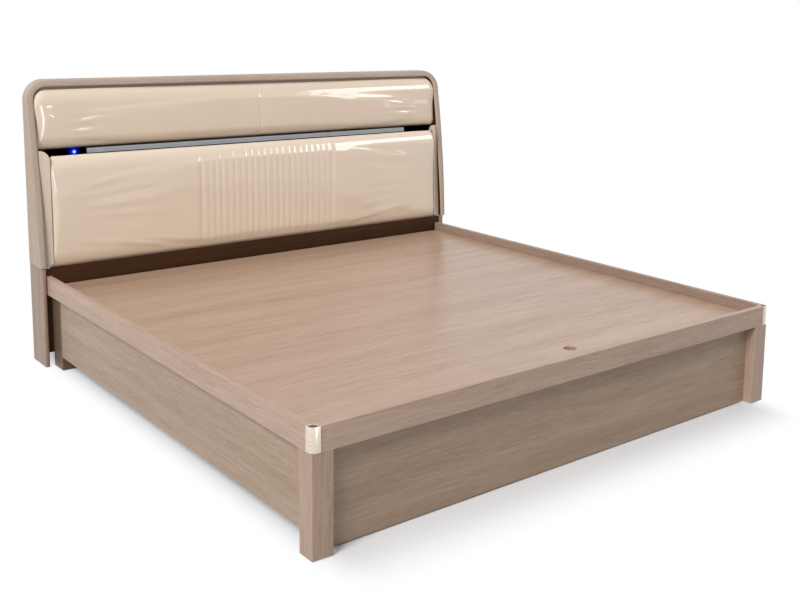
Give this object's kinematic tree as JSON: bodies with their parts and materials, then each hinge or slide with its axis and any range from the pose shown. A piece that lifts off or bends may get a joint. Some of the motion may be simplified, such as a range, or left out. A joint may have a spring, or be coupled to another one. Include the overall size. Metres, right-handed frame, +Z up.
{
  "type": "storage bed",
  "caption": "Storage bed with a lifting deck on gas struts over a divided box, boarded aprons, and an upholstered headboard with a light slot.",
  "frame": {"origin": "on the floor under the middle of the bed's length and width", "axes": "+X to the right seen from the foot, +Y from the foot to the headboard, +Z up"},
  "size_m": [1.952, 2.0326, 1.097],
  "materials": {
    "taupe_veneer": "satin wood-grain laminate with a fine horizontal grain",
    "dark_veneer": "matt dark brown stained board",
    "pine_batten": "planed softwood",
    "inner_board": "plain faced board, matt",
    "champagne_metal": "satin champagne plating",
    "cream_leather": "glossy patent leather over foam",
    "black_channel": "matt black",
    "bar_aluminium": "satin anodised",
    "opal_diffuser": "frosted opal, unlit",
    "switch_metal": "dark satin",
    "switch_black": "gloss black",
    "blue_lens": "lit blue indicator",
    "painted_steel": "black powder coat",
    "zinc_steel": "zinc plated",
    "strut_black": "gloss black paint",
    "strut_chrome": "polished",
    "glide_plastic": "matt black"
  },
  "bodies": {
    "bed": {"bed_bolts": "zinc_steel", "box_end_panel": "inner_board", "bracket_screws": "zinc_steel", "centre_divider": "inner_board", "centre_feet": "glide_plastic", "cheek_left": "taupe_veneer", "cheek_right": "taupe_veneer", "corner_blocks": "pine_batten", "corner_cap_left": "champagne_metal", "corner_cap_right": "champagne_metal", "divider_battens": "pine_batten", "floor_battens": "pine_batten", "floor_board_left": "inner_board", "floor_board_right": "inner_board", "foot_apron": "taupe_veneer", "foot_cleat": "pine_batten", "foot_leg_left": "taupe_veneer", "foot_leg_right": "taupe_veneer", "foot_packing": "pine_batten", "foot_panel": "taupe_veneer", "head_leg_left": "taupe_veneer", "head_leg_right": "taupe_veneer", "head_panel": "dark_veneer", "head_post_left": "dark_veneer", "head_post_right": "dark_veneer", "headboard_back_panel": "inner_board", "headboard_side_left": "taupe_veneer", "headboard_side_right": "taupe_veneer", "headboard_top_rail": "taupe_veneer", "leg_glides": "glide_plastic", "light_bar": "bar_aluminium", "light_channel": "black_channel", "light_diffuser": "opal_diffuser", "lower_cushion": "cream_leather", "lower_cushion_board": "inner_board", "lower_rail": "pine_batten", "middle_rail": "pine_batten", "pivot_brackets": "painted_steel", "pivot_pins": "zinc_steel", "side_apron_left": "taupe_veneer", "side_apron_right": "taupe_veneer", "side_cleats": "pine_batten", "side_panel_left": "taupe_veneer", "side_panel_right": "taupe_veneer", "strut_anchors": "painted_steel", "switch_bezel": "switch_metal", "upper_batten": "pine_batten", "upper_cushion": "cream_leather", "upper_cushion_board": "inner_board"},
    "deck": {"deck_board": "taupe_veneer", "deck_side_tubes": "painted_steel", "deck_cross_tubes": "painted_steel", "deck_screws": "zinc_steel", "deck_studs": "zinc_steel"},
    "strut_tube_left": {"strut_tube_left": "strut_black"},
    "strut_tube_right": {"strut_tube_right": "strut_black"},
    "strut_rod_left": {"strut_rod_left": "strut_chrome"},
    "strut_rod_right": {"strut_rod_right": "strut_chrome"},
    "switch": {"switch_button": "switch_black", "switch_lens": "blue_lens"}
  },
  "joints": [
    {"name": "deck_lift", "type": "hinge", "parent": "bed", "child": "deck", "pos_m": [0, 0.83075, 0.292], "axis": [-1, 0, 0], "range_deg": [0, 30]},
    {"name": "strut_tube_swing_left", "type": "hinge", "parent": "bed", "child": "strut_tube_left", "pos_m": [-0.871, 0.61691, 0.10908], "axis": [-1, 0, 0], "range_deg": [0, 15]},
    {"name": "strut_rod_swing_left", "type": "hinge", "parent": "deck", "child": "strut_rod_left", "pos_m": [-0.871, 0.54934, 0.292], "axis": [-1, 0, 0], "range_deg": [-15, 0]},
    {"name": "strut_tube_swing_right", "type": "hinge", "parent": "bed", "child": "strut_tube_right", "pos_m": [0.871, 0.61691, 0.10908], "axis": [-1, 0, 0], "range_deg": [0, 15]},
    {"name": "strut_rod_swing_right", "type": "hinge", "parent": "deck", "child": "strut_rod_right", "pos_m": [0.871, 0.54934, 0.292], "axis": [-1, 0, 0], "range_deg": [-15, 0]},
    {"name": "switch_press", "type": "slide", "parent": "bed", "child": "switch", "axis": [0, 1, 0], "range_m": [0, 0.0015], "stiffness_N_per_m": 400}
  ],
  "couplings": [
    {"joint": "strut_tube_swing_left", "follows": "deck_lift", "ratio": 0.5},
    {"joint": "strut_rod_swing_left", "follows": "deck_lift", "ratio": -0.5},
    {"joint": "strut_tube_swing_right", "follows": "deck_lift", "ratio": 0.5},
    {"joint": "strut_rod_swing_right", "follows": "deck_lift", "ratio": -0.5}
  ]
}
